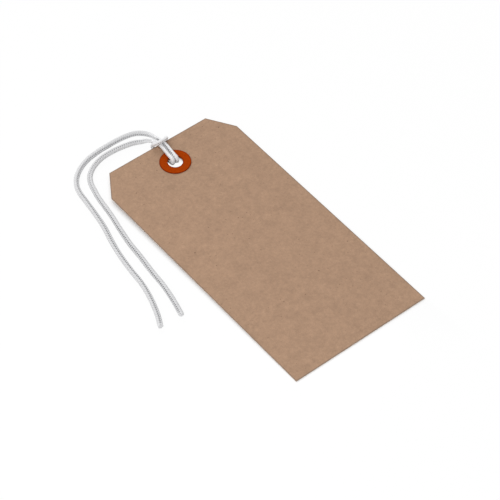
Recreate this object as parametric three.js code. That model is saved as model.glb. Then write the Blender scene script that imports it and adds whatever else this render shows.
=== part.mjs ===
// Kraft paper shipping tag: a die-cut card, a round fibre patch on each side of its punched hole,
// and one string hitched through the hole and round the card's top edge.
// Lengths are in millimetres. +Z is up, and +Y runs from the square end towards the hole end.
// The card leans on the string that passes under it, so it is tilted about X by a degree or so.
import * as THREE from 'three';

// Card
const cardLength = 120.65;
const cardWidth = 60.325;
const cardThickness = 0.33;
const cornerCutAcross = 7.0;
const cornerCutAlong = 10.9;

// Hole and the patch on each side of it
const holeDiameter = 5.9;
const holeInset = 11.1;
const patchDiameter = 12.3;
const patchThickness = 0.25;
const patchRimBevel = 0.07;
const glueLine = 0.02;

// String, with the clearances between its own strands, over the card and at the top edge
const stringDiameter = 1.65;
const strandGap = 0.1;
const seatGap = 0.12;
const edgeClearance = 0.3;
const jointGap = 0.3;

// Hitch, across the card: the middle of the two front strands at the hole and under the crown,
// the two legs at the top edge, and the two places where the strands leave
const pairAtHole = 0.4;
const pairAtCrown = 1.2;
const rightLegAcross = 4.4;
const leftLegAcross = -1.7;
const rightExitAcross = 2.0;
const leftExitAcross = -0.45;

// Hitch, along and over the card: how far its turn reaches into the hole and its crown lies in
// from the top edge, the rise of the front strands and how they leave over the edge. The shares
// are places of a strand's points, from 0 at the hole to 1 at the top edge.
const turnInset = 1.0;
const turnSwell = 0.1;
const crownReach = 1.3;
const frontArch = 0.35;
const lastFrontShare = 0.943;
const backShares = [0.35, 0.7];
const edgeRun = 0.8;
const exitRun = 2.9;
const exitDrop = 0.8;

// The crown's route from each leg to the strand it crosses, hand-set as [out, lean, up]: out and up
// are in strand pitches from that strand, and lean is the share of the way in from the edge
const rightCrown = [
  [1.32, 0.1, -0.4], [1.2, 0.38, 0.02], [0.94, 0.66, 0.46], [0.54, 0.88, 0.86], [0, 1, 1],
];
const leftCrown = [
  [1.12, 0.06, -0.35], [1.15, 0.3, 0.1], [0.97, 0.62, 0.52], [0.56, 0.87, 0.87], [0, 1, 1],
];

// Roundness
const roundSides = 48;
const stringSides = 8;
const arcSteps = 4;
const frontSteps = 5;
const hitchStepsPerDiameter = 3;
const tailStepInDiameters = 2.2;

// Heights in the card's own frame, where h is 0 on the underside
const stringRadius = stringDiameter / 2;
const strandPitch = stringDiameter + strandGap;
const frontStrandHeight = cardThickness + seatGap + stringRadius;
const patchStrandHeight = frontStrandHeight + glueLine + patchThickness;
const backStrandHeight = -(glueLine + patchThickness + seatGap + stringRadius);

// Places along the card, where v is 0 at the square end and cardLength at the hole end
const holeAlong = cardLength - holeInset;
const turnRadius = (patchStrandHeight - backStrandHeight) / 2;
const turnAlong = holeAlong + holeDiameter / 2 - turnInset;
const crownAlong = cardLength - crownReach;
const edgeTurnRadius = stringRadius + edgeClearance;
const legAlong = cardLength + edgeTurnRadius;

// The card leans on the underside of the string's two back strands
const tilt = Math.atan((stringRadius - backStrandHeight) / turnAlong);
const cardMiddleY = (cardLength * Math.cos(tilt) - cardThickness * Math.sin(tilt)) / 2;

function finish(color, roughness) {
  return new THREE.MeshStandardMaterial({ color, roughness, metalness: 0 });
}

function namedMesh(name, geometry, material) {
  const mesh = new THREE.Mesh(geometry, material);
  mesh.name = name;
  return mesh;
}

// Card: a rectangle with its two hole-end corners cut off and one round hole
function cardGeometry() {
  const half = cardWidth / 2;
  const outline = new THREE.Shape();
  outline.moveTo(-half, 0);
  outline.lineTo(half, 0);
  outline.lineTo(half, cardLength - cornerCutAlong);
  outline.lineTo(half - cornerCutAcross, cardLength);
  outline.lineTo(-half + cornerCutAcross, cardLength);
  outline.lineTo(-half, cardLength - cornerCutAlong);
  outline.closePath();
  const hole = new THREE.Path();
  hole.absarc(0, holeAlong, holeDiameter / 2, 0, 2 * Math.PI, true);
  outline.holes.push(hole);
  return new THREE.ExtrudeGeometry(outline, {
    depth: cardThickness,
    curveSegments: roundSides,
    bevelEnabled: false,
  });
}

// Patch: a flat ring whose outer rim is pressed down to a small bevel
function patchGeometry() {
  const inner = holeDiameter / 2;
  const outer = patchDiameter / 2;
  const profile = [
    new THREE.Vector2(inner, 0),
    new THREE.Vector2(outer, 0),
    new THREE.Vector2(outer, patchThickness - patchRimBevel),
    new THREE.Vector2(outer - patchRimBevel, patchThickness),
    new THREE.Vector2(inner, patchThickness),
    new THREE.Vector2(inner, 0),
  ];
  return new THREE.LatheGeometry(profile, roundSides).rotateX(Math.PI / 2);
}

// One stretch of string: a section of eight sides swept along a smooth curve
function stringGeometry(points, steps) {
  const curve = new THREE.CatmullRomCurve3(points, false, 'centripetal');
  curve.arcLengthDivisions = 40 * points.length;
  const section = new THREE.Shape();
  for (let i = 0; i < stringSides; i += 1) {
    const angle = (2 * Math.PI * (i + 0.5)) / stringSides;
    const x = stringRadius * Math.cos(angle);
    const y = stringRadius * Math.sin(angle);
    if (i === 0) section.moveTo(x, y);
    else section.lineTo(x, y);
  }
  section.closePath();
  return new THREE.ExtrudeGeometry(section, {
    steps: steps ?? Math.round(curve.getLength() / (tailStepInDiameters * stringDiameter)),
    bevelEnabled: false,
    extrudePath: curve,
  });
}

// Height of the front strands, share being 0 at the hole and 1 at the top edge
function frontHeight(share) {
  const seat = patchStrandHeight + (frontStrandHeight - patchStrandHeight) * share;
  return seat + frontArch * Math.sin(Math.PI * share);
}

// One strand's half of the hitch, from its exit over the front, down through the hole, back under
// the card, up round the top edge and on to the middle of the crown. side is 1 for the right-hand
// strand and -1 for the left. Points are (x, v, h): across the card, along it and over it.
function hitchHalf(side, exitAcross, legAcross, crown) {
  const atHole = pairAtHole + (side * strandPitch) / 2;
  const atCrown = pairAtCrown + (side * strandPitch) / 2;
  const frontLength = cardLength - turnAlong;
  const exit = new THREE.Vector3(exitAcross, cardLength + exitRun, frontStrandHeight - exitDrop);
  const overEdge = new THREE.Vector3(atCrown, cardLength + edgeRun, frontStrandHeight);
  const straight = overEdge.clone().sub(exit).setLength(stringDiameter);
  const points = [exit, exit.clone().add(straight), overEdge];
  for (let i = frontSteps; i > 0; i -= 1) {
    const share = (lastFrontShare * i) / frontSteps;
    const eased = share * share * (3 - 2 * share);
    points.push(new THREE.Vector3(
      atHole + (atCrown - atHole) * eased,
      turnAlong + frontLength * share,
      frontHeight(share),
    ));
  }
  for (let i = 0; i <= 2 * arcSteps; i += 1) {
    const angle = (Math.PI * i) / (2 * arcSteps);
    points.push(new THREE.Vector3(
      atHole + side * turnSwell * Math.sin(angle),
      turnAlong - turnRadius * Math.sin(angle),
      backStrandHeight + turnRadius * (1 + Math.cos(angle)),
    ));
  }
  for (const share of backShares) {
    const across = atHole + (legAcross - atHole) * share;
    points.push(new THREE.Vector3(across, turnAlong + frontLength * share, backStrandHeight));
  }
  for (let i = 0; i <= arcSteps; i += 1) {
    const angle = (Math.PI * i) / (2 * arcSteps);
    points.push(new THREE.Vector3(
      legAcross,
      cardLength + edgeTurnRadius * Math.sin(angle),
      backStrandHeight + edgeTurnRadius * (1 - Math.cos(angle)),
    ));
  }
  const crossed = frontHeight((crownAlong - turnAlong) / frontLength);
  for (const [out, lean, up] of crown) {
    points.push(new THREE.Vector3(
      atCrown + side * out * strandPitch,
      legAlong + (crownAlong - legAlong) * lean,
      crossed + up * strandPitch,
    ));
  }
  return points;
}

// Tail routes on the floor. Each point is [x, y, lift]: x and y start where the strand leaves the
// hitch, and lift runs from 1 at the hitch's height to 0 where the string lies on the floor.
const outerTail = [
  [-0.15, 3.1, 0.42], [-0.35, 4.4, 0.2], [-0.65, 5.4, 0.08], [-1.25, 6.4, 0.01], [-2.2, 7.5, 0],
  [-3.5, 8.5, 0], [-5.0, 9.3, 0], [-8.4, 10.1, 0], [-12.1, 10.4, 0], [-15.8, 10.4, 0],
  [-19.5, 10.3, 0], [-23.2, 9.9, 0], [-26.8, 9.2, 0], [-30.2, 7.9, 0], [-33.5, 5.9, 0], [-36.2, 3.4, 0],
  [-38.2, 0.2, 0], [-39.3, -3.4, 0], [-39.8, -7.0, 0], [-40.8, -14.4, 0], [-42.2, -22.6, 0],
  [-44.3, -30.4, 0], [-46.0, -38.2, 0], [-47.1, -46.1, 0], [-47.9, -54.1, 0], [-49.7, -61.9, 0],
  [-52.3, -69.4, 0], [-54.7, -74.3, 0],
];
const innerTail = [
  [-1.1, 2.75, 0.36], [-1.85, 3.35, 0.17], [-2.7, 3.9, 0.03], [-3.8, 4.5, 0], [-5.3, 5.15, 0],
  [-8.2, 5.9, 0], [-11.9, 6.5, 0], [-15.5, 6.7, 0], [-19.2, 6.5, 0], [-22.8, 5.5, 0],
  [-26.1, 3.8, 0], [-28.9, 1.3, 0], [-30.7, -2.0, 0], [-31.7, -5.5, 0], [-32.6, -9.1, 0],
  [-34.2, -19.7, 0], [-35.8, -27.5, 0], [-37.2, -35.4, 0], [-38.0, -43.3, 0],
  [-39.0, -51.3, 0], [-39.7, -59.2, 0], [-41.1, -67.1, 0], [-43.0, -74.7, 0],
];

// A tail starts square to the hitch's exit and runs straight for one diameter
function tailPoints(route, exit, before) {
  const outward = exit.clone().sub(before).normalize();
  const start = exit.clone().addScaledVector(outward, jointGap);
  const onward = start.clone().addScaledVector(outward, stringDiameter);
  const rest = route.map(([x, y, lift]) => new THREE.Vector3(
    exit.x + x,
    exit.y + y,
    stringRadius + (exit.z - stringRadius) * lift,
  ));
  return [start, onward, ...rest];
}

const kraft = finish(0xaa8b73, 0.9);
const fibre = finish(0xa33b04, 0.7);
const cotton = finish(0xe6e6e6, 0.85);

const tag = new THREE.Group();
const leaning = new THREE.Group();
leaning.position.y = -cardMiddleY;
leaning.rotation.x = tilt;
tag.add(leaning);

leaning.add(namedMesh('tag_card', cardGeometry(), kraft));

const frontPatch = namedMesh('front_patch', patchGeometry(), fibre);
frontPatch.position.set(0, holeAlong, cardThickness + glueLine);
leaning.add(frontPatch);

const backPatch = namedMesh('back_patch', patchGeometry(), fibre.clone());
backPatch.position.set(0, holeAlong, -glueLine);
backPatch.rotation.y = Math.PI;
leaning.add(backPatch);

const rightHalf = hitchHalf(1, rightExitAcross, rightLegAcross, rightCrown);
const leftHalf = hitchHalf(-1, leftExitAcross, leftLegAcross, leftCrown);
const hitchRoute = [...rightHalf, ...leftHalf.slice().reverse()];
const hitchLength = new THREE.CatmullRomCurve3(hitchRoute, false, 'centripetal').getLength();
const hitchSteps = Math.round((hitchStepsPerDiameter * hitchLength) / stringDiameter);
leaning.add(namedMesh('string_hitch', stringGeometry(hitchRoute, hitchSteps), cotton));

leaning.updateMatrixWorld(true);
const [outerExit, outerBefore, innerExit, innerBefore] = [
  rightHalf[0], rightHalf[1], leftHalf[0], leftHalf[1],
].map((point) => point.clone().applyMatrix4(leaning.matrixWorld));
const outerGeometry = stringGeometry(tailPoints(outerTail, outerExit, outerBefore));
const innerGeometry = stringGeometry(tailPoints(innerTail, innerExit, innerBefore));
tag.add(namedMesh('string_tail_outer', outerGeometry, cotton.clone()));
tag.add(namedMesh('string_tail_inner', innerGeometry, cotton.clone()));

export default tag;
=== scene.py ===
import math

import bmesh
import bpy
import numpy as np
from mathutils import Matrix, Vector


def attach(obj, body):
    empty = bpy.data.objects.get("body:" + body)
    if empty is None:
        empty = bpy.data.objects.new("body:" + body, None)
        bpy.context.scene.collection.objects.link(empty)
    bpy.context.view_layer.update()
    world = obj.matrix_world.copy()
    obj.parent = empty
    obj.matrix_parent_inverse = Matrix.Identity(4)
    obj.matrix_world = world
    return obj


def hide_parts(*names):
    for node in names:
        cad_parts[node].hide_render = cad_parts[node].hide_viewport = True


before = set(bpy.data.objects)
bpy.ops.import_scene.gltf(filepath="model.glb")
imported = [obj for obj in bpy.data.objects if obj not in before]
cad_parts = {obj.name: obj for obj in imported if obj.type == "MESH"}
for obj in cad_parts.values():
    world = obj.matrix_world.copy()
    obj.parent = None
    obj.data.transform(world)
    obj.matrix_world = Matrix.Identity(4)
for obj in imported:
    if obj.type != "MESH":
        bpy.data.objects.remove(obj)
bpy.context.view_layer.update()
scene = bpy.context.scene
MM = 0.001

# Card, hole and patches, with the part's own sizes
card_length = 120.65 * MM
card_width = 60.325 * MM
card_thickness = 0.33 * MM
corner_cut_across = 7.0 * MM
corner_cut_along = 10.9 * MM
hole_diameter = 5.9 * MM
hole_inset = 11.1 * MM
patch_diameter = 12.3 * MM
patch_thickness = 0.25 * MM
patch_rim_bevel = 0.07 * MM
glue_line = 0.02 * MM

# String, with the clearances between its own strands, over the card and at the top edge
string_diameter = 1.65 * MM
strand_gap = 0.1 * MM
seat_gap = 0.12 * MM
edge_clearance = 0.3 * MM

# Hitch, across the card: its front pair at the hole and under the crown, its legs and its exits
pair_at_hole = 0.4 * MM
pair_at_crown = 1.2 * MM
right_leg_across = 4.4 * MM
left_leg_across = -1.7 * MM
right_exit_across = 2.0 * MM
left_exit_across = -0.45 * MM

# Hitch, along and over the card
turn_inset = 1.0 * MM
turn_swell = 0.1 * MM
crown_reach = 1.3 * MM
front_arch = 0.35 * MM
edge_run = 0.8 * MM
exit_run = 2.9 * MM
exit_drop = 0.8 * MM
last_front_share = 0.943
back_shares = (0.35, 0.7)
arc_steps = 4
front_steps = 5

# The crown's route from each leg to the strand it crosses, as [out, lean, up]: out and up are in
# strand pitches from that strand, and lean is the share of the way in from the edge
right_crown = [
    [1.32, 0.1, -0.4], [1.2, 0.38, 0.02], [0.94, 0.66, 0.46], [0.54, 0.88, 0.86], [0, 1, 1],
]
left_crown = [
    [1.12, 0.06, -0.35], [1.15, 0.3, 0.1], [0.97, 0.62, 0.52], [0.56, 0.87, 0.87], [0, 1, 1],
]

# Tail routes on the floor, in millimetres. Each point is [x, y, lift]: x and y start where the
# strand leaves the hitch, and lift runs from 1 at the hitch's height to 0 on the floor.
outer_tail = [
    [-0.15, 3.1, 0.42], [-0.35, 4.4, 0.2], [-0.65, 5.4, 0.08], [-1.25, 6.4, 0.01], [-2.2, 7.5, 0],
    [-3.5, 8.5, 0], [-5.0, 9.3, 0], [-8.4, 10.1, 0], [-12.1, 10.4, 0], [-15.8, 10.4, 0],
    [-19.5, 10.3, 0], [-23.2, 9.9, 0], [-26.8, 9.2, 0], [-30.2, 7.9, 0], [-33.5, 5.9, 0],
    [-36.2, 3.4, 0], [-38.2, 0.2, 0], [-39.3, -3.4, 0], [-39.8, -7.0, 0], [-40.8, -14.4, 0],
    [-42.2, -22.6, 0], [-44.3, -30.4, 0], [-46.0, -38.2, 0], [-47.1, -46.1, 0], [-47.9, -54.1, 0],
    [-49.7, -61.9, 0], [-52.3, -69.4, 0], [-54.7, -74.3, 0],
]
inner_tail = [
    [-1.1, 2.75, 0.36], [-1.85, 3.35, 0.17], [-2.7, 3.9, 0.03], [-3.8, 4.5, 0], [-5.3, 5.15, 0],
    [-8.2, 5.9, 0], [-11.9, 6.5, 0], [-15.5, 6.7, 0], [-19.2, 6.5, 0], [-22.8, 5.5, 0],
    [-26.1, 3.8, 0], [-28.9, 1.3, 0], [-30.7, -2.0, 0], [-31.7, -5.5, 0], [-32.6, -9.1, 0],
    [-34.2, -19.7, 0], [-35.8, -27.5, 0], [-37.2, -35.4, 0], [-38.0, -43.3, 0], [-39.0, -51.3, 0],
    [-39.7, -59.2, 0], [-41.1, -67.1, 0], [-43.0, -74.7, 0],
]

# Worked out from the sizes above. In the card's own frame v runs along it from the square end,
# and h is the height over its underside.
string_radius = string_diameter / 2
strand_pitch = string_diameter + strand_gap
front_strand_height = card_thickness + seat_gap + string_radius
patch_strand_height = front_strand_height + glue_line + patch_thickness
back_strand_height = -(glue_line + patch_thickness + seat_gap + string_radius)
hole_radius = hole_diameter / 2
hole_along = card_length - hole_inset
turn_radius = (patch_strand_height - back_strand_height) / 2
turn_along = hole_along + hole_radius - turn_inset
crown_along = card_length - crown_reach
edge_turn_radius = string_radius + edge_clearance
leg_along = card_length + edge_turn_radius
tilt = math.atan((string_radius - back_strand_height) / turn_along)
card_middle_y = (card_length * math.cos(tilt) - card_thickness * math.sin(tilt)) / 2
card_place = Matrix.Translation((0, -card_middle_y, 0)) @ Matrix.Rotation(tilt, 4, "X")


# Steps, directions and lengths


def smoothstep(t):
    return t * t * (3 - 2 * t)


def ease(value, start, span):
    """0 up to start, 1 from start plus span, and smooth between."""
    return smoothstep(np.clip((value - start) / span, 0, 1))


def unit(v):
    return v / np.linalg.norm(v, axis=-1, keepdims=True)


def line_length(line):
    return float(np.linalg.norm(np.diff(line, axis=0), axis=1).sum())


# Camera: the photograph's viewpoint, from the perspective of the card's corners

camera_azimuth = math.radians(-37.958)
camera_elevation = math.radians(48.962)
camera_roll = math.radians(-0.876)
camera_target = Vector((-4.454 * MM, -2.106 * MM, 0))
camera_distance = 790.801 * MM
camera_lens = 153.813
sensor_width = 36


def camera_axes():
    """The camera's right, up and back directions."""
    level = math.cos(camera_elevation)
    back = Vector((
        math.sin(camera_azimuth) * level,
        -math.cos(camera_azimuth) * level,
        math.sin(camera_elevation),
    ))
    right = (-back).cross(Vector((0, 0, 1))).normalized()
    up = right.cross(-back)
    turn = Matrix.Rotation(-camera_roll, 3, -back)
    return turn @ right, turn @ up, back


def make_camera():
    """Sets the camera and returns its back direction, which points from the tag to the camera."""
    data = bpy.data.cameras.new("camera")
    data.lens = camera_lens
    data.sensor_width = sensor_width
    data.clip_start = 0.05
    data.clip_end = 20
    camera = bpy.data.objects.new("camera", data)
    scene.collection.objects.link(camera)
    right, up, back = camera_axes()
    camera.matrix_world = Matrix.Translation(camera_target + back * camera_distance) @ Matrix(
        (right, up, back)
    ).transposed().to_4x4()
    scene.camera = camera
    return back


# String route

curve_fineness = 60


def front_height(share):
    """Height of the front strands, share being 0 at the hole and 1 at the top edge."""
    seat = patch_strand_height + (front_strand_height - patch_strand_height) * share
    return seat + front_arch * math.sin(math.pi * share)


def hitch_half(side, exit_across, leg_across, crown):
    """One strand's half of the hitch, from its exit to the middle of the crown, as (x, v, h)."""
    at_hole = pair_at_hole + side * strand_pitch / 2
    at_crown = pair_at_crown + side * strand_pitch / 2
    front_length = card_length - turn_along
    leave = Vector((exit_across, card_length + exit_run, front_strand_height - exit_drop))
    over_edge = Vector((at_crown, card_length + edge_run, front_strand_height))
    straight = (over_edge - leave).normalized() * string_diameter
    points = [leave, leave + straight, over_edge]
    for i in range(front_steps, 0, -1):
        share = last_front_share * i / front_steps
        points.append(Vector((
            at_hole + (at_crown - at_hole) * smoothstep(share),
            turn_along + front_length * share,
            front_height(share),
        )))
    for i in range(2 * arc_steps + 1):
        angle = math.pi * i / (2 * arc_steps)
        points.append(Vector((
            at_hole + side * turn_swell * math.sin(angle),
            turn_along - turn_radius * math.sin(angle),
            back_strand_height + turn_radius * (1 + math.cos(angle)),
        )))
    for share in back_shares:
        across = at_hole + (leg_across - at_hole) * share
        points.append(Vector((across, turn_along + front_length * share, back_strand_height)))
    for i in range(arc_steps + 1):
        angle = math.pi * i / (2 * arc_steps)
        points.append(Vector((
            leg_across,
            card_length + edge_turn_radius * math.sin(angle),
            back_strand_height + edge_turn_radius * (1 - math.cos(angle)),
        )))
    crossed = front_height((crown_along - turn_along) / front_length)
    for out, lean, up in crown:
        points.append(Vector((
            at_crown + side * out * strand_pitch,
            leg_along + (crown_along - leg_along) * lean,
            crossed + up * strand_pitch,
        )))
    return points


def tail_points(route, leave, before):
    """A tail starts square to the hitch's exit and runs straight for one diameter."""
    outward = (leave - before).normalized()
    rest = [
        Vector((
            leave.x + x * MM,
            leave.y + y * MM,
            string_radius + (leave.z - string_radius) * lift,
        ))
        for x, y, lift in route
    ]
    return [leave, leave + outward * string_diameter, *rest]


def smooth_route(points, step):
    """A centripetal Catmull-Rom curve through the points, with a point every step."""
    p = np.array([tuple(q) for q in points])
    p = np.vstack([2 * p[0] - p[1], p, 2 * p[-1] - p[-2]])
    t = (np.arange(curve_fineness) / curve_fineness)[:, None]
    stretches = []
    for p0, p1, p2, p3 in zip(p[:-3], p[1:-2], p[2:-1], p[3:]):
        d0, d1, d2 = (np.linalg.norm(b - a) ** 0.5 for a, b in ((p0, p1), (p1, p2), (p2, p3)))
        m1 = ((p1 - p0) / d0 - (p2 - p0) / (d0 + d1) + (p2 - p1) / d1) * d1
        m2 = ((p2 - p1) / d1 - (p3 - p1) / (d1 + d2) + (p3 - p2) / d2) * d1
        bend = -3 * p1 + 3 * p2 - 2 * m1 - m2
        stretches.append(p1 + m1 * t + bend * t**2 + (2 * p1 - 2 * p2 + m1 + m2) * t**3)
    curve = np.vstack([*stretches, p[-2:-1]])
    along = np.concatenate([[0], np.cumsum(np.linalg.norm(np.diff(curve, axis=0), axis=1))])
    even = np.linspace(0, along[-1], max(2, round(along[-1] / step) + 1))
    return np.stack([np.interp(even, along, curve[:, k]) for k in range(3)], 1)


# String surface: a fine knitted cord of three wales, whose stitches are pairs of slanted legs

ring_step = 0.1 * MM
string_sides = 40
wale_count = 3
stitch_pitch = 0.9 * MM
leg_slant = 0.9
tightest_share = 0.93

# Depths of the groove between two wales, of the gap between two legs, of the wale's middle and of
# the pit where gap and groove meet
wale_groove = 0.15 * MM
leg_groove = 0.07 * MM
middle_groove = 0.04 * MM
stitch_pit = 0.13 * MM
groove_start = 0.5
gap_roundness = 0.8
middle_width = 0.055

# Painted shade of the same places, from 0 on the yarn to 1
groove_shade = 0.08
groove_pit_shade = 0.84
yarn_pit_shade = 0.3
middle_shade = 0.06


def frames_along(line, face, start_turned=None):
    """Side and face directions at every ring. With start_turned they follow the bends from there
    without twist; without it they stay turned towards the direction called face."""
    tangent = unit(np.gradient(line, axis=0))
    if start_turned is None:
        side = unit(np.cross(tangent, face))
        return tangent, side, np.cross(side, tangent)
    side = np.empty_like(line)
    side[0] = start_turned
    for i in range(1, len(line)):
        carried = side[i - 1] - tangent[i] * np.dot(side[i - 1], tangent[i])
        side[i] = carried / np.linalg.norm(carried)
    return tangent, side, np.cross(side, tangent)


def knit_depth(angle, along):
    """How far the knitted surface lies under the string's outer radius, and its painted shade,
    from 0 on the yarn to 1 at the bottom of the pits between the stitches."""
    across = (angle / (2 * np.pi) * wale_count) % 1 - 0.5
    from_middle = np.abs(2 * across)
    phase = (along / stitch_pitch + leg_slant * from_middle) % 1
    gap = 1 - np.sin(np.pi * phase) ** gap_roundness
    groove = ease(from_middle, groove_start, 1 - groove_start)
    middle = np.exp(-((across / middle_width) ** 2))
    depth = wale_groove * groove + leg_groove * gap + middle_groove * middle
    depth = depth + stitch_pit * groove * gap
    pit = 0.5 + 0.5 * np.cos(2 * np.pi * phase)
    in_groove = groove * (groove_shade + groove_pit_shade * pit)
    on_yarn = yarn_pit_shade * pit * (1 - groove)
    return depth, in_groove + on_yarn + middle_shade * middle


def string_surface(line, tangent, side, face, roll, along, squeeze):
    """Vertices of the knitted tube, ring by ring, and their painted shades. On the inside of a
    bend the surface stops short of the bend's centre, so that its rings don't cross."""
    angle = np.linspace(0, 2 * np.pi, string_sides, endpoint=False)[None, :]
    depth, shade = knit_depth(angle + np.pi / wale_count + roll[:, None], along[:, None])
    radius = string_radius * squeeze[:, None] - depth
    bend = np.gradient(tangent, along, axis=0)
    curl_side = np.sum(bend * side, 1)[:, None]
    curl_face = np.sum(bend * face, 1)[:, None]
    turned_in = curl_side * np.cos(angle) + curl_face * np.sin(angle)
    radius = np.minimum(radius, tightest_share / np.maximum(turned_in, 1e-6))
    spoke = np.cos(angle)[..., None] * side[:, None] + np.sin(angle)[..., None] * face[:, None]
    return line[:, None] + radius[..., None] * spoke, shade


def tube_faces(rings, sides):
    """Quads between rings, closed by one face at each end."""
    ring = np.arange(rings - 1)[:, None] * sides
    here = np.arange(sides)[None, :]
    after = (here + 1) % sides
    quads = np.stack([ring + here, ring + after, ring + sides + after, ring + sides + here], -1)
    faces = quads.reshape(-1, 4).tolist()
    faces.append(list(range(sides - 1, -1, -1)))
    faces.append(list(range((rings - 1) * sides, rings * sides)))
    return faces


def mesh_piece(name, vertices, faces, materials, smooth=True):
    mesh = bpy.data.meshes.new(name)
    mesh.from_pydata(np.asarray(vertices, float).tolist(), [], faces)
    mesh.polygons.foreach_set("use_smooth", [smooth] * len(mesh.polygons))
    for material in materials:
        mesh.materials.append(material)
    mesh.validate()
    mesh.update()
    piece = bpy.data.objects.new(name, mesh)
    scene.collection.objects.link(piece)
    return piece


def float_attribute(piece, name, values):
    attribute = piece.data.attributes.new(name, "FLOAT", "POINT")
    attribute.data.foreach_set("value", np.asarray(values, np.float32).ravel())


# Materials. The plain numbers in them are wavelengths and fibre sizes in millimetres, levels of a
# noise or mask from 0 to 1, weights of a mix, and shifts that keep two noises apart.

fibre_bend = 1.1
fibre_bend_wavelength = 2.2
white = (1.0, 1.0, 1.0, 1.0)


def put(tree, value, socket):
    """Gives the socket a link if value is an output, and else the plain value."""
    if isinstance(value, bpy.types.NodeSocket):
        tree.links.new(value, socket)
    else:
        socket.default_value = value


def math_node(tree, operation, a, b=0.0):
    node = tree.nodes.new("ShaderNodeMath")
    node.operation = operation
    put(tree, a, node.inputs[0])
    put(tree, b, node.inputs[1])
    return node.outputs[0]


class Graph:
    """A material's node tree, with short calls for the nodes that the materials share."""

    def __init__(self, name):
        self.material = bpy.data.materials.new(name)
        self.material.use_nodes = True
        self.tree = self.material.node_tree
        self.shader = self.tree.nodes["Principled BSDF"]
        self.shader.inputs["Metallic"].default_value = 0.0
        place = self.tree.nodes.new("ShaderNodeTexCoord").outputs["Object"]
        self.place = self.vector("SCALE", place, scale=1 / MM)

    def link(self, source, target):
        self.tree.links.new(source, target)

    def put(self, value, socket):
        put(self.tree, value, socket)

    def math(self, operation, a, b=0.0):
        return math_node(self.tree, operation, a, b)

    def most(self, first, *others):
        """The largest of the values."""
        for value in others:
            first = self.math("MAXIMUM", first, value)
        return first

    def vector(self, operation, a, b=(0.0, 0.0, 0.0), scale=1.0):
        node = self.tree.nodes.new("ShaderNodeVectorMath")
        node.operation = operation
        self.put(a, node.inputs[0])
        if operation == "SCALE":
            self.put(scale, node.inputs["Scale"])
        else:
            self.put(b, node.inputs[1])
        return node.outputs[0]

    def noise(self, wavelength, detail=2.0, roughness=0.5, place=None, shift=(0.0, 0.0, 0.0)):
        """Noise from 0 to 1 whose patches are about wavelength millimetres across."""
        node = self.tree.nodes.new("ShaderNodeTexNoise")
        node.inputs["Scale"].default_value = 1 / wavelength
        node.inputs["Detail"].default_value = detail
        node.inputs["Roughness"].default_value = roughness
        place = self.place if place is None else place
        self.link(self.vector("ADD", place, shift), node.inputs["Vector"])
        return node.outputs["Fac"]

    def band(self, value, low, high):
        """0 below low, 1 above high, and smooth between."""
        node = self.tree.nodes.new("ShaderNodeMapRange")
        node.interpolation_type = "SMOOTHSTEP"
        self.put(value, node.inputs["Value"])
        node.inputs["From Min"].default_value = low
        node.inputs["From Max"].default_value = high
        return node.outputs["Result"]

    def fibres(self, angle, length, width, low, high, shift):
        """A mask of thin curved fibres that lie along one direction, at an angle in degrees."""
        warp = self.noise(fibre_bend_wavelength, 1.0, shift=(shift, 0.0, 0.0))
        offset = self.triple(self.math("MULTIPLY", warp, fibre_bend))
        mapping = self.tree.nodes.new("ShaderNodeMapping")
        mapping.vector_type = "TEXTURE"
        mapping.inputs["Rotation"].default_value = (0.0, 0.0, math.radians(angle))
        mapping.inputs["Scale"].default_value = (length, width, width)
        self.link(self.vector("ADD", self.place, offset), mapping.inputs["Vector"])
        lines = self.noise(1.0, 1.0, place=mapping.outputs[0], shift=(0.0, shift, shift))
        return self.band(lines, low, high)

    def triple(self, value):
        node = self.tree.nodes.new("ShaderNodeCombineXYZ")
        for socket in node.inputs:
            self.link(value, socket)
        return node.outputs[0]

    def attribute(self, name):
        node = self.tree.nodes.new("ShaderNodeAttribute")
        node.attribute_name = name
        return node.outputs["Fac"]

    def mix(self, factor, a, b):
        node = self.tree.nodes.new("ShaderNodeMix")
        node.data_type = "RGBA"
        self.put(factor, node.inputs[0])
        self.put(a, node.inputs[6])
        self.put(b, node.inputs[7])
        return node.outputs[2]

    def total(self, start, *terms):
        """start plus each (value, weight), a value of 0.5 counting as nothing."""
        result = start
        for value, weight in terms:
            centred = self.math("MULTIPLY", self.math("SUBTRACT", value, 0.5), weight)
            result = self.math("ADD", centred, result)
        return result

    def bump(self, height, distance):
        node = self.tree.nodes.new("ShaderNodeBump")
        node.inputs["Distance"].default_value = distance
        self.link(height, node.inputs["Height"])
        self.link(node.outputs[0], self.shader.inputs["Normal"])


def linear(red, green, blue):
    """A display colour of 0 to 255 as the shader's own linear colour."""

    def one(c):
        c = c / 255
        return c / 12.92 if c <= 0.04045 else ((c + 0.055) / 1.055) ** 2.4

    return (one(red), one(green), one(blue), 1.0)


kraft_colour = linear(170, 138, 113)
kraft_dark = linear(140, 108, 84)
kraft_pale = linear(196, 168, 145)
# The next colour is painted shade along the card's cut edges
kraft_edge_shade = linear(118, 100, 88)
kraft_core = linear(202, 182, 164)
fleck_colour = linear(84, 62, 46)
patch_colour = linear(163, 60, 8)
patch_dark = linear(104, 26, 0)
patch_pale = linear(192, 88, 10)
cotton_colour = linear(246, 246, 247)
# The next colour is painted shade, for the knit's grooves and pits
cotton_shade = linear(56, 56, 62)

# Fibre directions in the card: [angle in degrees, shift of the pattern]
pale_card_fibres = [(78, 11), (96, 23), (121, 37), (60, 51)]
dark_card_fibres = [(84, 65), (103, 77), (40, 91)]


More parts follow.
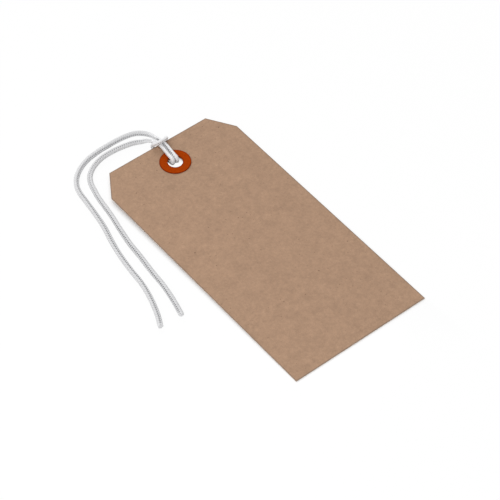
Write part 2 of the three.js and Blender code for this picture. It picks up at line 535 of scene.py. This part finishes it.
def kraft_material():
    """Uncoated brown board: cloudy, with pale and dark fibres, dark flecks, and a darker rim of
    painted edge shade.
    """
    g = Graph("kraft_card")
    cloud = g.noise(9.0, 2.0)
    patches = g.noise(3.0, 1.0, shift=(5.0, 2.0, 6.0))
    mottle = g.noise(1.1, 3.0, 0.6, shift=(7.0, 3.0, 1.0))
    grain = g.noise(0.3, 2.0, 0.6, shift=(2.0, 9.0, 4.0))
    pale = g.most(*(g.fibres(a, 2.6, 0.13, 0.66, 0.78, s) for a, s in pale_card_fibres))
    dark = g.most(*(g.fibres(a, 2.1, 0.12, 0.68, 0.8, s) for a, s in dark_card_fibres))
    fleck = g.band(g.noise(0.7, 0.0, shift=(31.0, 17.0, 5.0)), 0.81, 0.88)
    darkened = g.band(g.attribute("edge_darkening"), 0.0, 0.7)
    base = g.mix(g.math("MULTIPLY", pale, 0.3), kraft_colour, kraft_pale)
    base = g.mix(g.math("MULTIPLY", dark, 0.3), base, kraft_dark)
    base = g.mix(g.math("MULTIPLY", fleck, 0.75), base, fleck_colour)
    # Painted shade: the board darkens towards every cut edge
    base = g.mix(g.math("MULTIPLY", darkened, 0.7), base, kraft_edge_shade)
    tone = g.total(1.0, (cloud, 0.14), (patches, 0.24), (mottle, 0.42), (grain, 0.4))
    g.link(g.vector("SCALE", base, scale=tone), g.shader.inputs["Base Color"])
    g.link(g.total(0.88, (mottle, 0.12), (grain, 0.08)), g.shader.inputs["Roughness"])
    g.shader.inputs["Specular IOR Level"].default_value = 0.25
    g.bump(g.total(0.5, (mottle, 0.5), (grain, 0.5), (pale, 0.35), (dark, -0.3)), 0.035 * MM)
    return g.material


def core_material():
    """The card's cut edge: pale layered fibre."""
    g = Graph("kraft_core")
    layers = g.tree.nodes.new("ShaderNodeMapping")
    layers.inputs["Scale"].default_value = (1.2, 1.2, 14.0)
    g.link(g.place, layers.inputs["Vector"])
    plies = g.noise(1.0, 3.0, 0.6, place=layers.outputs[0])
    grain = g.noise(0.12, 2.0)
    base = g.mix(g.band(plies, 0.35, 0.65), kraft_colour, kraft_core)
    tone = g.total(0.97, (grain, 0.2))
    g.link(g.vector("SCALE", base, scale=tone), g.shader.inputs["Base Color"])
    g.shader.inputs["Roughness"].default_value = 0.95
    g.shader.inputs["Specular IOR Level"].default_value = 0.2
    g.bump(g.total(0.5, (plies, 1.0), (grain, 0.6)), 0.03 * MM)
    return g.material


def patch_material():
    """Hard orange-red fibre: faint mottling and fibres, and a darker rim."""
    g = Graph("patch_fibre")
    mottle = g.noise(0.9, 3.0, 0.6)
    grain = g.noise(0.16, 2.0, shift=(4.0, 8.0, 2.0))
    pale = g.fibres(30, 1.6, 0.09, 0.64, 0.76, 13)
    pale = g.most(pale, g.fibres(105, 1.3, 0.08, 0.66, 0.78, 29))
    dark = g.fibres(150, 1.4, 0.1, 0.66, 0.78, 43)
    base = g.mix(g.math("MULTIPLY", pale, 0.35), patch_colour, patch_pale)
    base = g.mix(g.math("MULTIPLY", dark, 0.35), base, patch_dark)
    base = g.mix(g.math("MULTIPLY", g.attribute("edge_darkening"), 0.8), base, patch_dark)
    tone = g.total(1.0, (mottle, 0.5), (grain, 0.2))
    g.link(g.vector("SCALE", base, scale=tone), g.shader.inputs["Base Color"])
    g.link(g.total(0.6, (mottle, 0.2), (grain, 0.1)), g.shader.inputs["Roughness"])
    g.shader.inputs["Specular IOR Level"].default_value = 0.0
    g.bump(g.total(0.5, (mottle, 0.6), (grain, 0.3), (pale, 0.3), (dark, -0.2)), 0.025 * MM)
    return g.material


def cotton_material():
    """White cotton, with painted shade between the stitches, and slightly uneven."""
    g = Graph("white_string")
    fluff = g.noise(0.09, 3.0, 0.65)
    uneven = g.noise(1.7, 2.0, shift=(3.0, 1.0, 8.0))
    base = g.mix(g.attribute("stitch_shade"), cotton_colour, cotton_shade)
    tone = g.total(0.98, (fluff, 0.16), (uneven, 0.08))
    g.link(g.vector("SCALE", base, scale=tone), g.shader.inputs["Base Color"])
    g.link(g.total(0.9, (fluff, 0.1)), g.shader.inputs["Roughness"])
    g.shader.inputs["Specular IOR Level"].default_value = 0.2
    g.bump(fluff, 0.03 * MM)
    return g.material


# String pieces. Distances in a tail are measured from the hitch's exit. Places in the hitch are
# shares of its length, from the outer tail's end to the inner one's.

# Radius, as a share of the part's: pressed in the hitch, slack in the tails, blunt at a cut tip
pressed = 0.97
slack = 1.34
swell_length = 9.0 * MM
tip_width = 0.8
tip_length = 0.35 * MM

# Turn of the stitches round the string
roll_sway = math.radians(9)
sway_length = 7.0 * MM
inner_roll = math.radians(-15)
crown_roll = math.radians(20)
right_groove_lean = 1.7
left_groove_lean = 0.6
right_front = (0.05, 0.17)
crown_span = (0.45, 0.55)
left_front = (0.83, 0.95)

# Evenly added shifts of the shade: darker on the tails, and painted light, paler, on the crown and
# on the strands going down into the hole's mouth. open is the share of the knit's painted shade
# that shows
tail_darkening = 0.115
crown_painted_light = -0.06
mouth_painted_light = -0.5
mouth_reach = 1.2 * MM
mouth_fade = 1.6 * MM
hitch_open = 0.8
crown_closing = 0.1
crown_reach_share = 0.08
crown_fade_share = 0.08
tail_closing = 0.35
tail_open_from = 30.0 * MM
tail_open_fade = 40.0 * MM
tip_open = 0.3
tip_fade = 1.5 * MM

# The front pair has painted light, with less knit shade on its outer sides, and painted shade
# where its two strands face each other
front_from_crown = 0.28
front_fade_share = 0.05
pair_painted_light = 0.6
pair_painted_shade = 1.6
no_zero = 1e-9


def carded(points):
    return [card_place @ p for p in points]


def swell(distance):
    """The string's radius as a share of the part's."""
    return pressed + (slack - pressed) * ease(distance, 0, swell_length)


def string_parts(face):
    """Every ring of the whole string from the outer tail's end, through the hitch, to the inner
    tail's end, so that the stitches run on from one piece to the next."""
    right = carded(hitch_half(1, right_exit_across, right_leg_across, right_crown))
    left = carded(hitch_half(-1, left_exit_across, left_leg_across, left_crown))
    outer = smooth_route(tail_points(outer_tail, right[0], right[1]), ring_step)[::-1]
    hitch = smooth_route([*right, *reversed(left[:-1])], ring_step)
    inner = smooth_route(tail_points(inner_tail, left[0], left[1]), ring_step)
    outer_axes = frames_along(outer, face)
    hitch_axes = frames_along(hitch, face, start_turned=outer_axes[1][-1])
    inner_axes = frames_along(inner, face)
    parts, start = {}, 0
    for name, line, axes in (
        ("outer", outer, outer_axes), ("hitch", hitch, hitch_axes), ("inner", inner, inner_axes),
    ):
        run = np.linspace(0, line_length(line), len(line))
        away = {"outer": run[::-1], "hitch": 0 * run, "inner": run}[name]
        squeeze = swell(away)
        parts[name] = {
            "line": line + np.outer(np.maximum(squeeze - 1, 0), (0, 0, string_radius)),
            "axes": axes,
            "along": start + run,
            "squeeze": squeeze,
            "roll": roll_sway * np.sin(away / sway_length),
            "shade_shift": tail_darkening * (squeeze - pressed) / (slack - pressed),
            "open": 1 - tail_closing * (1 - ease(away, tail_open_from, tail_open_fade)),
        }
        start += run[-1]
    parts["inner"]["roll"] += inner_roll
    parts["hitch"]["roll"] = hitch_roll(hitch_axes, face, inner_axes[1][0])
    parts["hitch"].update(hitch_shades(hitch))
    return parts


def hitch_roll(axes, face, inner_side):
    """The turn of the hitch's stitches, ring by ring. It brings a groove to the front strands and
    the crown where the photograph shows it, and ends where the inner tail's stitches start."""
    _, side, over = axes
    wale = 2 * np.pi / wale_count

    def angle_of(direction, ring):
        return math.atan2(np.dot(direction, over[ring]), np.dot(direction, side[ring]))

    def nearest(turn, usual):
        """The turn nearest to the usual one that looks the same."""
        return usual + (turn - usual + wale / 2) % wale - wale / 2

    spare = nearest(angle_of(inner_side, -1) + inner_roll, 0)
    stops = [(0, 0)]
    for direction, turn, first, last in (
        (Vector((-right_groove_lean, 0, 1)), -wale / 2, *right_front),
        (face, crown_roll, *crown_span),
        (Vector((left_groove_lean, 0, 1)), -wale / 2, *left_front),
    ):
        middle = (first + last) / 2
        ring = round(middle * (len(side) - 1))
        turned = nearest(turn - angle_of(direction, ring), -spare * smoothstep(middle))
        stops += [(first, turned), (last, turned)]
    stops.append((1, -spare))
    return np.interp(np.linspace(0, 1, len(side)), *zip(*stops))


def hitch_shades(hitch):
    """The hitch's painted light and shade: paler on the crown and in the hole's mouth, with less
    knit shade on the crown, and beside pointing from each front strand to the other.
    """
    from_crown = np.abs(np.linspace(0, 1, len(hitch)) - 0.5)
    on_crown = 1 - ease(from_crown, crown_reach_share, crown_fade_share)
    in_front = ease(from_crown, front_from_crown, front_fade_share)
    mouth = card_place @ Vector((pair_at_hole, turn_along - turn_radius / 2, card_thickness))
    from_mouth = np.linalg.norm(hitch - np.array(mouth), axis=1)
    in_mouth = 1 - ease(from_mouth, mouth_reach, mouth_fade)
    # Painted light: the crown, and the strands going down into the hole's mouth where they lie in
    # shade, are made paler
    return {
        "shade_shift": crown_painted_light * on_crown + mouth_painted_light * in_mouth,
        "open": hitch_open - crown_closing * on_crown,
        "beside": unit(hitch[::-1] - hitch + no_zero) * in_front[:, None],
    }


def string_piece(name, part, material, tip_at=None):
    """One stretch of the string. At its cut end the surface draws in to a blunt tip."""
    tangent, side, face = part["axes"]
    count = len(part["line"])
    squeeze = part["squeeze"]
    open_share = part["open"]
    if tip_at is not None:
        from_tip = np.arange(count) * ring_step
        from_tip = from_tip if tip_at == "start" else from_tip[::-1]
        drawn_in = 1 - np.sqrt(1 - (1 - np.clip(from_tip / tip_length, 0, 1)) ** 2)
        squeeze = squeeze * (1 - (1 - tip_width) * drawn_in)
        open_share = open_share * (tip_open + (1 - tip_open) * np.clip(from_tip / tip_fade, 0, 1))
    vertices, shade = string_surface(
        part["line"], tangent, side, face, part["roll"], part["along"], squeeze
    )
    shade = shade * open_share[:, None]
    # Painted light on the front pair's outer sides, and painted shade where its strands face each
    # other
    if "beside" in part:
        spoke = unit(vertices - part["line"][:, None])
        inner = np.clip(np.einsum("rsk,rk->rs", spoke, part["beside"]), 0, 1)
        in_front = np.linalg.norm(part["beside"], axis=1)[:, None]
        shade = shade * (1 + pair_painted_shade * inner - pair_painted_light * in_front)
    # Even shifts of the shade: darker on the tails, painted light on the crown and in the hole's
    # mouth
    shade = np.clip(shade + part["shade_shift"][:, None], 0, 1)
    faces = tube_faces(count, string_sides)
    piece = mesh_piece(name, vertices.reshape(-1, 3), faces, [material])
    float_attribute(piece, "stitch_shade", shade)
    return piece


# Cut ends and loose fibres. A pair in brackets is a range, except for yarn_places, which the
# yarns take in turn. Places are shares of the string's radius.
string_seed = 7
floor_clearance = 0.03 * MM
yarn_count = 8
yarn_jitter = 0.5
yarn_sides = 10
yarn_radii = [0.21 * MM, 0.22 * MM, 0.22 * MM, 0.2 * MM, 0.16 * MM, 0.07 * MM]
yarn_places = (0.42, 0.56)
yarn_root = 0.35 * MM
yarn_reach = (0.05 * MM, 0.38 * MM)
yarn_spread = (0.0, 0.1 * MM)
# Painted shade, even on each piece: a little on the cut yarns
yarn_shade = 0.05
hair_radius = 0.014 * MM
hair_radii = [hair_radius] * 4 + [hair_radius / 3]
hair_count = 26
hair_sides = 4
hair_reach = (0.25 * MM, 0.8 * MM)
hair_curl = (-0.3 * MM, 0.3 * MM)
hair_places = (0.1, 0.8)
hair_spread = 0.35 * MM
hair_spread_share = (0.3, 1)
fuzz_per_metre = 5200
fuzz_sides = 3
fuzz_reach = (0.25 * MM, 0.7 * MM)
fuzz_lift = (0.1 * MM, 0.34 * MM)
fuzz_arc = 0.75 * math.pi
fuzz_lean_along = (-1, 1)
fuzz_lean_round = (-0.8, 0.8)
fuzz_place = 0.86
fuzz_end_margin = 10
# Painted shade on the loose fibres, which greys the string's soft margins
fuzz_shade = 0.3
steepest = 0.9


def thread(points, radii, sides):
    """A closed tapered thread through the points: its vertices and faces."""
    line = np.array(points)
    tangent = unit(np.gradient(line, axis=0))
    steep = abs(tangent[0][2]) >= steepest
    helper = np.array((1.0, 0.2, 0) if steep else (0.31, 0.62, 0.72))
    side = unit(np.cross(tangent, helper))
    other = np.cross(tangent, side)
    angle = np.linspace(0, 2 * np.pi, sides, endpoint=False)[None, :, None]
    spoke = np.cos(angle) * side[:, None] + np.sin(angle) * other[:, None]
    vertices = line[:, None] + np.array(radii)[:, None, None] * spoke
    return vertices.reshape(-1, 3), tube_faces(len(line), sides)


def threads_piece(name, threads, material, shade):
    """Many threads joined in one mesh."""
    vertices, faces, first = [], [], 0
    for points, radii, sides in threads:
        v, f = thread(points, radii, sides)
        vertices.append(v)
        faces += [[i + first for i in face] for face in f]
        first += len(v)
    piece = mesh_piece(name, np.vstack(vertices), faces, [material])
    float_attribute(piece, "stitch_shade", np.full(first, shade))
    return piece


def keep_up(points, radius):
    """The same points, none lower than a thread that lies on the floor."""
    return [np.array((p[0], p[1], max(p[2], radius + floor_clearance))) for p in points]


def frayed_end(name, part, tip_at, material, rng):
    """The yarns and fibres that spread a little where the string was cut."""
    tangent, side, face = part["axes"]
    index = 0 if tip_at == "start" else -1
    out = -tangent[index] if tip_at == "start" else tangent[index]
    tip, across, up = part["line"][index], side[index], face[index]
    threads = []
    for k in range(yarn_count):
        angle = 2 * math.pi * (k + yarn_jitter * rng.random()) / yarn_count
        spoke = across * math.cos(angle) + up * math.sin(angle)
        reach = rng.uniform(*yarn_reach)
        spread = rng.uniform(*yarn_spread)
        base = yarn_places[k % 2] * string_radius
        points = [
            tip + spoke * (base + spread * s**2) + out * (reach * s - yarn_root * (1 - s))
            for s in np.linspace(0, 1, len(yarn_radii))
        ]
        threads.append((keep_up(points, yarn_radii[0]), yarn_radii, yarn_sides))
    for _ in range(hair_count):
        angle = rng.uniform(0, 2 * math.pi)
        spoke = across * math.cos(angle) + up * math.sin(angle)
        reach = rng.uniform(*hair_reach)
        curl = np.cross(out, spoke) * rng.uniform(*hair_curl)
        base = rng.uniform(*hair_places) * string_radius
        points = [
            tip + spoke * (base + hair_spread * s**2 * rng.uniform(*hair_spread_share))
            + out * reach * s + curl * s**2
            for s in np.linspace(0, 1, len(hair_radii))
        ]
        threads.append((keep_up(points, hair_radius), hair_radii, hair_sides))
    return threads_piece(name, threads, material, yarn_shade)


def fuzz_piece(name, part, material, rng):
    """Short loose fibres that stand off the knitted surface."""
    tangent, side, face = part["axes"]
    line = part["line"]
    threads = []
    for _ in range(int(line_length(line) * fuzz_per_metre)):
        i = int(rng.integers(fuzz_end_margin, len(line) - fuzz_end_margin))
        angle = rng.uniform(0, 2 * math.pi)
        spoke = side[i] * math.cos(angle) + face[i] * math.sin(angle)
        around = -side[i] * math.sin(angle) + face[i] * math.cos(angle)
        lean = tangent[i] * rng.uniform(*fuzz_lean_along) + around * rng.uniform(*fuzz_lean_round)
        reach = rng.uniform(*fuzz_reach)
        lift = rng.uniform(*fuzz_lift)
        start = line[i] + spoke * (fuzz_place * string_radius)
        points = [
            start + lean * reach * s + spoke * (lift * math.sin(fuzz_arc * s))
            for s in np.linspace(0, 1, len(hair_radii))
        ]
        threads.append((keep_up(points, hair_radius), hair_radii, fuzz_sides))
    return threads_piece(name, threads, material, fuzz_shade)


def make_string(face):
    """The whole string, with its stitches laid out from the direction called face."""
    cotton = cotton_material()
    parts = string_parts(face)
    rng = np.random.default_rng(string_seed)
    outer = string_piece("tail_outer_knit", parts["outer"], cotton, tip_at="start")
    inner = string_piece("tail_inner_knit", parts["inner"], cotton, tip_at="end")
    hitch = string_piece("hitch_knit", parts["hitch"], cotton)
    outer_end = frayed_end("tail_outer_cut_end", parts["outer"], "start", cotton, rng)
    inner_end = frayed_end("tail_inner_cut_end", parts["inner"], "end", cotton, rng)
    outer_fuzz = fuzz_piece("tail_outer_fibres", parts["outer"], cotton, rng)
    inner_fuzz = fuzz_piece("tail_inner_fibres", parts["inner"], cotton, rng)
    hitch_fuzz = fuzz_piece("hitch_fibres", parts["hitch"], cotton, rng)
    for piece in (outer, inner, hitch, outer_end, inner_end, outer_fuzz, inner_fuzz, hitch_fuzz):
        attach(piece, "root")
    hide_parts("string_tail_outer")
    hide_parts("string_tail_inner")
    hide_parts("string_hitch")


# Card

outline_step = 0.35 * MM
cut_roughness = 0.012 * MM
edge_bevel = 0.035 * MM
rim_width = 0.45 * MM
hole_points = 120
card_seed = 21


def card_outline():
    """Points round the card, close together, so that the cut edge can be a little rough."""
    half = card_width / 2
    shoulder = card_length - corner_cut_along
    corners = [
        (-half, 0), (half, 0), (half, shoulder), (half - corner_cut_across, card_length),
        (-half + corner_cut_across, card_length), (-half, shoulder),
    ]
    points, inward = [], []
    for (ax, ay), (bx, by) in zip(corners, corners[1:] + corners[:1]):
        length = math.hypot(bx - ax, by - ay)
        count = round(length / outline_step)
        normal = (-(by - ay) / length, (bx - ax) / length)
        for i in range(count):
            s = i / count
            points.append((ax + (bx - ax) * s, ay + (by - ay) * s))
            inward.append(normal)
    return np.array(points), np.array(inward)


def corner_insets(points, inward, distance):
    """The outline moved in by distance, mitred at the corners."""
    before = np.roll(inward, 1, axis=0)
    mitre = inward + before
    mitre = mitre / (1 + np.sum(inward * before, 1, keepdims=True))
    return points + mitre * distance


def make_card(materials):
    """The card's two faces, darkened towards the edges with painted edge shade, and its rough cut
    walls, as one closed mesh.
    """
    rng = np.random.default_rng(card_seed)
    outline, inward = card_outline()
    rough = rng.normal(0, cut_roughness, len(outline))
    rough = (rough + np.roll(rough, 1) + np.roll(rough, -1)) / 3
    angle = np.linspace(0, 2 * np.pi, hole_points, endpoint=False)
    ray = np.stack([np.cos(angle), np.sin(angle)], 1)
    centre = np.array((0, hole_along))
    top = card_thickness
    board, core = 0, 1
    mesh = bmesh.new()
    darkening = mesh.verts.layers.float.new("edge_darkening")

    def loop_at(points, height, darkened):
        made = []
        for x, y in points:
            vertex = mesh.verts.new(card_place @ Vector((x, y, height)))
            vertex[darkening] = darkened
            made.append(vertex)
        return made

    def rim(inset):
        ragged = np.abs(rough) * (inset < rim_width)
        return corner_insets(outline, inward, (inset + ragged)[:, None])

    def circle(grow):
        return centre + ray * (hole_radius + grow)

    # From the back face over the cut edge to the front face: [distance in, height, painted edge
    # shade]
    profile = [
        (rim_width, 0, 0), (edge_bevel, 0, 1), (0, edge_bevel, 1),
        (0, top - edge_bevel, 1), (edge_bevel, top, 1), (rim_width, top, 0),
    ]
    outer_loops = [loop_at(rim(inset), height, darkened) for inset, height, darkened in profile]
    hole_loops = [loop_at(circle(inset), height, darkened) for inset, height, darkened in profile[::-1]]
    for loops in (outer_loops, hole_loops):
        for a, b, material in zip(loops, loops[1:], (board, core, core, core, board)):
            for i in range(len(a)):
                k = (i + 1) % len(a)
                mesh.faces.new((a[i], a[k], b[k], b[i])).material_index = material
    for rims in ((outer_loops[0], hole_loops[-1]), (outer_loops[-1], hole_loops[0])):
        edges = [mesh.edges.get(pair) for loop in rims for pair in zip(loop, loop[1:] + loop[:1])]
        bmesh.ops.triangle_fill(mesh, use_beauty=True, edges=edges)
    bmesh.ops.recalc_face_normals(mesh, faces=mesh.faces)
    data = bpy.data.meshes.new("card_board")
    mesh.to_mesh(data)
    mesh.free()
    for material in materials:
        data.materials.append(material)
    card = bpy.data.objects.new("card_board", data)
    scene.collection.objects.link(card)
    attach(card, "root")
    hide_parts("tag_card")


# Patches

patch_sides = 192
patch_lip = 0.05 * MM
patch_relief = 0.006 * MM
patch_raggedness = 0.012 * MM
ragged_waves = (3, 7, 13, 29, 47)
wave_size = (0.15, 0.5)
wave_phase = (0, 6)
relief_spread = 0.5
hole_ragged_share = 0.5
flat_shares = (0.25, 0.4, 0.55, 0.7, 0.83)
rounding = 0.3
hole_margin = 7 * patch_lip
rim_margin = 5 * patch_rim_bevel
margin_darkening = 0.2
lip_darkening = 0.9
front_seed = 5
back_seed = 6


def patch_profile(inner, outer, top):
    """The patch's section from its hole to its rim: [radius, height, darkening]."""
    lip, bevel = patch_lip, patch_rim_bevel
    return [
        (inner, 0, 1), (inner, top - lip, 1), (inner + rounding * lip, top - rounding * lip, 1),
        (inner + lip, top, lip_darkening), (inner + hole_margin, top, margin_darkening),
        *((inner + (outer - inner) * share, top, 0) for share in flat_shares),
        (outer - rim_margin, top, margin_darkening), (outer - bevel, top, lip_darkening),
        (outer - rounding * bevel, top - rounding * bevel, 1), (outer, top - bevel, 1),
        (outer, 0, 1),
    ]


def make_patch(name, node, facing, material, seed):
    """A pressed fibre ring on one face of the card. facing is 1 for the front, -1 for the back."""
    rng = np.random.default_rng(seed)
    outer, inner, top = patch_diameter / 2, hole_radius, glue_line + patch_thickness
    base = card_thickness if facing > 0 else 0
    angle = np.linspace(0, 2 * np.pi, patch_sides, endpoint=False)
    ragged = np.zeros(patch_sides)
    for waves in ragged_waves:
        size = rng.uniform(*wave_size) / waves**0.5
        ragged += size * np.sin(waves * angle + rng.uniform(*wave_phase))
    profile = patch_profile(inner, outer, top)
    vertices, darkened = [], []
    for radius, height, darkening in profile:
        raggedness = patch_raggedness * (1 if radius > (inner + outer) / 2 else hole_ragged_share)
        relief = patch_relief * rng.normal(0, relief_spread, patch_sides) * (height == top)
        r = radius - np.abs(raggedness * ragged)
        for k in range(patch_sides):
            place = Vector((
                r[k] * math.cos(angle[k]),
                hole_along + r[k] * math.sin(angle[k]),
                base + facing * (height + min(relief[k], 0)),
            ))
            vertices.append(tuple(card_place @ place))
            darkened.append(darkening)
    faces = []
    for i in range(len(profile)):
        a, b = i * patch_sides, (i + 1) % len(profile) * patch_sides
        for k in range(patch_sides):
            n = (k + 1) % patch_sides
            face = [a + k, b + k, b + n, a + n]
            faces.append(face if facing > 0 else face[::-1])
    patch = mesh_piece(name, vertices, faces, [material], smooth=False)
    float_attribute(patch, "edge_darkening", darkened)
    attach(patch, "root")
    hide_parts(node)


# Light and background

world_strength = 0.605
key_power = 38.0
key_size = 2.1
key_distance = 3.0
key_direction = Vector((0.45, 0.9, 0.55)).normalized()
fill_power = 0.7
fill_size = 0.3
fill_distance = 0.45
fill_direction = Vector((-0.9, -0.1, 1.0)).normalized()

# Floor. The camera sees it white: a white surface that keeps the shadows, and over it a share of
# plain glow beside the card, beyond its square end and through its hole. This glow is painted
# light over the shadows: it lightens the card's and the string's shadows beside the card and
# beyond its square end, and the card's shadow seen through its hole. Distances are from the card's
# outline and its square end.
floor_size = 3.0
floor_drop = 0.01 * MM
floor_grey = 0.95
glow_share = 0.94
glow_share_in_hole = 0.96
glow_side_start = -0.5 * MM
glow_side_full = 1.4 * MM
glow_end_start = 4.0 * MM
glow_end_full = 25.0 * MM


def floor_fade(tree, value, start, end, low, high):
    """start where value is below low, end where it is above high, and even between."""
    node = tree.nodes.new("ShaderNodeMapRange")
    node.inputs["From Min"].default_value = low
    node.inputs["From Max"].default_value = high
    node.inputs["To Min"].default_value = start
    node.inputs["To Max"].default_value = end
    tree.links.new(value, node.inputs["Value"])
    return node.outputs["Result"]


def mix_shaders(tree, share, first, second):
    """The first shader where share is 0, and the second where it is 1."""
    node = tree.nodes.new("ShaderNodeMixShader")
    tree.links.new(share, node.inputs["Fac"])
    tree.links.new(first.outputs[0], node.inputs[1])
    tree.links.new(second.outputs[0], node.inputs[2])
    return node


def seen_ray(tree):
    """1 for rays from the camera and for those that mirrors and clear pieces pass on."""
    path = tree.nodes.new("ShaderNodeLightPath").outputs
    passed = math_node(tree, "MAXIMUM", path["Is Glossy Ray"], path["Is Transmission Ray"])
    return math_node(tree, "MAXIMUM", path["Is Camera Ray"], passed)


def card_away(tree, x, y):
    """How far a place on the floor lies beyond the card's long edges, cut corners or hole end."""
    across = math_node(tree, "SUBTRACT", math_node(tree, "ABSOLUTE", x), card_width / 2)
    along = math_node(tree, "SUBTRACT", y, card_length / 2)
    cut = math.hypot(corner_cut_across, corner_cut_along)
    from_side = math_node(tree, "MULTIPLY", across, corner_cut_along / cut)
    from_end = math_node(tree, "ADD", along, corner_cut_along)
    from_end = math_node(tree, "MULTIPLY", from_end, corner_cut_across / cut)
    corner = math_node(tree, "ADD", from_side, from_end)
    return math_node(tree, "MAXIMUM", math_node(tree, "MAXIMUM", across, along), corner)


def make_floor():
    """A plain white floor that keeps the shadows, except where its glow paints light over them,
    and looks white beyond them.
    """
    half = floor_size / 2
    corners = [(-half, -half), (half, -half), (half, half), (-half, half)]
    floor = mesh_piece("floor", [(x, y, -floor_drop) for x, y in corners], [[0, 1, 2, 3]], [])
    material = bpy.data.materials.new("floor_white")
    material.use_nodes = True
    tree = material.node_tree
    unseen = tree.nodes["Principled BSDF"]
    unseen.inputs["Base Color"].default_value = (floor_grey, floor_grey, floor_grey, 1)
    unseen.inputs["Roughness"].default_value = 1.0
    unseen.inputs["Specular IOR Level"].default_value = 0.0
    shaded = tree.nodes.new("ShaderNodeBsdfDiffuse")
    shaded.inputs["Color"].default_value = white
    glow = tree.nodes.new("ShaderNodeEmission")
    glow.inputs["Strength"].default_value = 1.0
    place = tree.nodes.new("ShaderNodeTexCoord").outputs["Object"]
    parts = tree.nodes.new("ShaderNodeSeparateXYZ")
    tree.links.new(place, parts.inputs[0])
    x, y = parts.outputs["X"], parts.outputs["Y"]
    away = card_away(tree, x, y)
    beside = floor_fade(tree, away, 0, glow_share, glow_side_start, glow_side_full)
    end = -card_length / 2
    beyond = floor_fade(tree, y, glow_share, 0, end - glow_end_full, end - glow_end_start)
    middle = card_place @ Vector((0, hole_along, 0))
    from_hole = tree.nodes.new("ShaderNodeVectorMath")
    from_hole.operation = "DISTANCE"
    from_hole.inputs[1].default_value = (middle.x, middle.y, -floor_drop)
    tree.links.new(place, from_hole.inputs[0])
    in_hole = floor_fade(
        tree, from_hole.outputs["Value"], glow_share_in_hole, 0, hole_radius, patch_diameter / 2
    )
    share = math_node(tree, "MAXIMUM", math_node(tree, "MAXIMUM", beside, beyond), in_hole)
    seen = mix_shaders(tree, share, shaded, glow)
    surface = mix_shaders(tree, seen_ray(tree), unseen, seen)
    tree.links.new(surface.outputs[0], tree.nodes["Material Output"].inputs["Surface"])
    floor.data.materials.append(material)


def make_world():
    """Even light from all round, seen as plain white."""
    world = bpy.data.worlds.new("studio")
    world.use_nodes = True
    scene.world = world
    tree = world.node_tree
    unseen = tree.nodes["Background"]
    unseen.inputs["Color"].default_value = white
    unseen.inputs["Strength"].default_value = world_strength
    seen = tree.nodes.new("ShaderNodeBackground")
    seen.inputs["Color"].default_value = white
    seen.inputs["Strength"].default_value = 1.0
    surface = mix_shaders(tree, seen_ray(tree), unseen, seen)
    tree.links.new(surface.outputs[0], tree.nodes["World Output"].inputs["Surface"])


def make_light(name, direction, distance, size, power):
    """A round soft light that faces the object's middle."""
    data = bpy.data.lights.new(name, "AREA")
    data.shape = "DISK"
    data.size = size
    data.energy = power
    light = bpy.data.objects.new(name, data)
    scene.collection.objects.link(light)
    light.location = direction * distance
    light.rotation_mode = "QUATERNION"
    light.rotation_quaternion = direction.to_track_quat("Z", "Y")


make_string(np.array(make_camera()))
make_card([kraft_material(), core_material()])
fibre = patch_material()
make_patch("front_patch_ring", "front_patch", 1, fibre, front_seed)
make_patch("back_patch_ring", "back_patch", -1, fibre, back_seed)
make_floor()
make_world()
make_light("key", key_direction, key_distance, key_size, key_power)
make_light("fill", fill_direction, fill_distance, fill_size, fill_power)
scene.view_settings.view_transform = "Standard"
